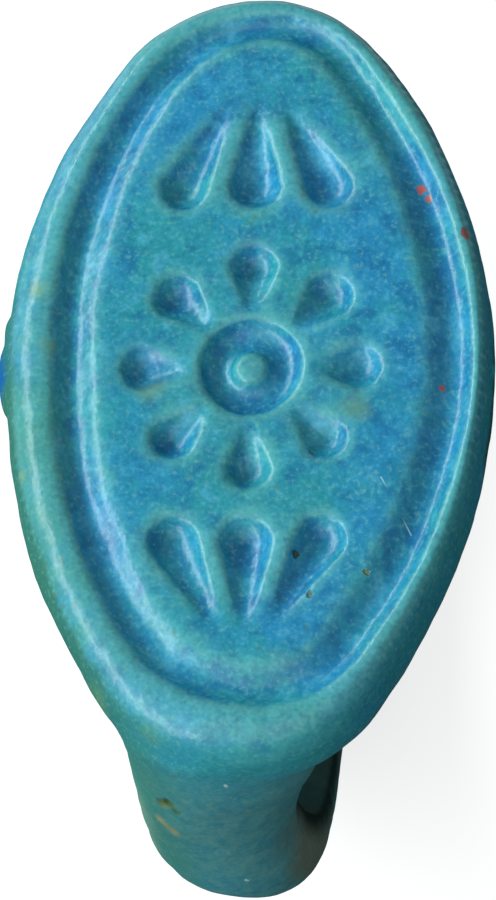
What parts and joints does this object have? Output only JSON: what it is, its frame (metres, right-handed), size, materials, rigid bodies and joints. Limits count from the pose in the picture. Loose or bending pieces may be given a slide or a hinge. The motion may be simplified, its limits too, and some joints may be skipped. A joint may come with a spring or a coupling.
{
  "type": "seal ring",
  "caption": "Glazed seal ring with a pointed oval bezel, a sunk flower device inside a sunk oval line, and a rounded shank luted to its back.",
  "frame": {"origin": "centre of the finger hole, on the middle line of the shank", "axes": "+X along the finger, +Y along the bezel towards its upper end, +Z out of the engraved face"},
  "size_m": [0.0141, 0.0236, 0.0228],
  "materials": {
    "glazed_bezel": "glossy",
    "glazed_shank": "glossy"
  },
  "bodies": {
    "root": {"bezel": "glazed_bezel", "shank": "glazed_shank", "luting_upper": "glazed_shank", "luting_lower": "glazed_shank"}
  },
  "joints": []
}
